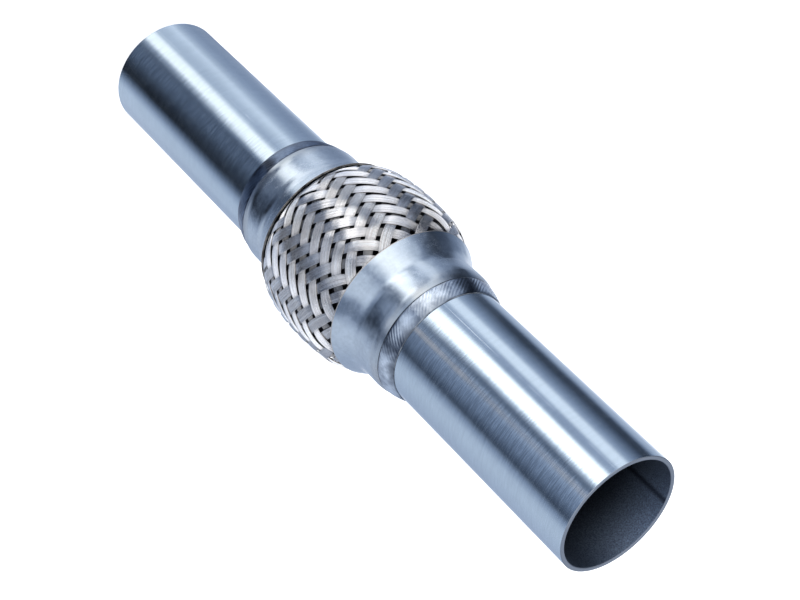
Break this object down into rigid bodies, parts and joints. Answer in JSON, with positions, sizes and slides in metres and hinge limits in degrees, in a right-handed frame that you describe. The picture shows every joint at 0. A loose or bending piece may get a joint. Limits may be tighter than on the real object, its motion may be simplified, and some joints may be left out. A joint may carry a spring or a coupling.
{
  "type": "exhaust flex pipe",
  "caption": "Straight exhaust pipe with a braided bellows section between two plain tube ends, welded into formed collars.",
  "frame": {"origin": "centre of the inlet tube's open end, on the floor that the pipe stands on", "axes": "+Z along the pipe from the inlet end to the outlet end, +Y along the hinge line of the flex section"},
  "size_m": [0.0672, 0.0672, 0.2765],
  "materials": {
    "tube_steel": "brushed stainless steel",
    "collar_steel": "formed stainless sheet, satin",
    "weld_steel": "weld bead, as welded",
    "braid_steel": "woven stainless wire",
    "bellows_steel": "bright thin sheet",
    "liner_steel": "folded strip"
  },
  "bodies": {
    "inlet_end": {"inlet_tube": "tube_steel", "inlet_collar": "collar_steel", "inlet_weld_bead": "weld_steel", "outer_braid": "braid_steel", "bellows_outer_ply": "bellows_steel", "bellows_inner_ply": "bellows_steel", "interlocked_liner": "liner_steel"},
    "outlet_end": {"outlet_tube": "tube_steel", "outlet_collar": "collar_steel", "outlet_weld_bead": "weld_steel"}
  },
  "joints": [
    {"name": "flex_bend", "type": "hinge", "parent": "inlet_end", "child": "outlet_end", "pos_m": [0, 0, 0.1396], "axis": [0, 1, 0], "range_deg": [-10, 10], "stiffness_Nm_per_rad": 60, "deforming": ["outer_braid", "bellows_outer_ply", "bellows_inner_ply", "interlocked_liner"]}
  ]
}
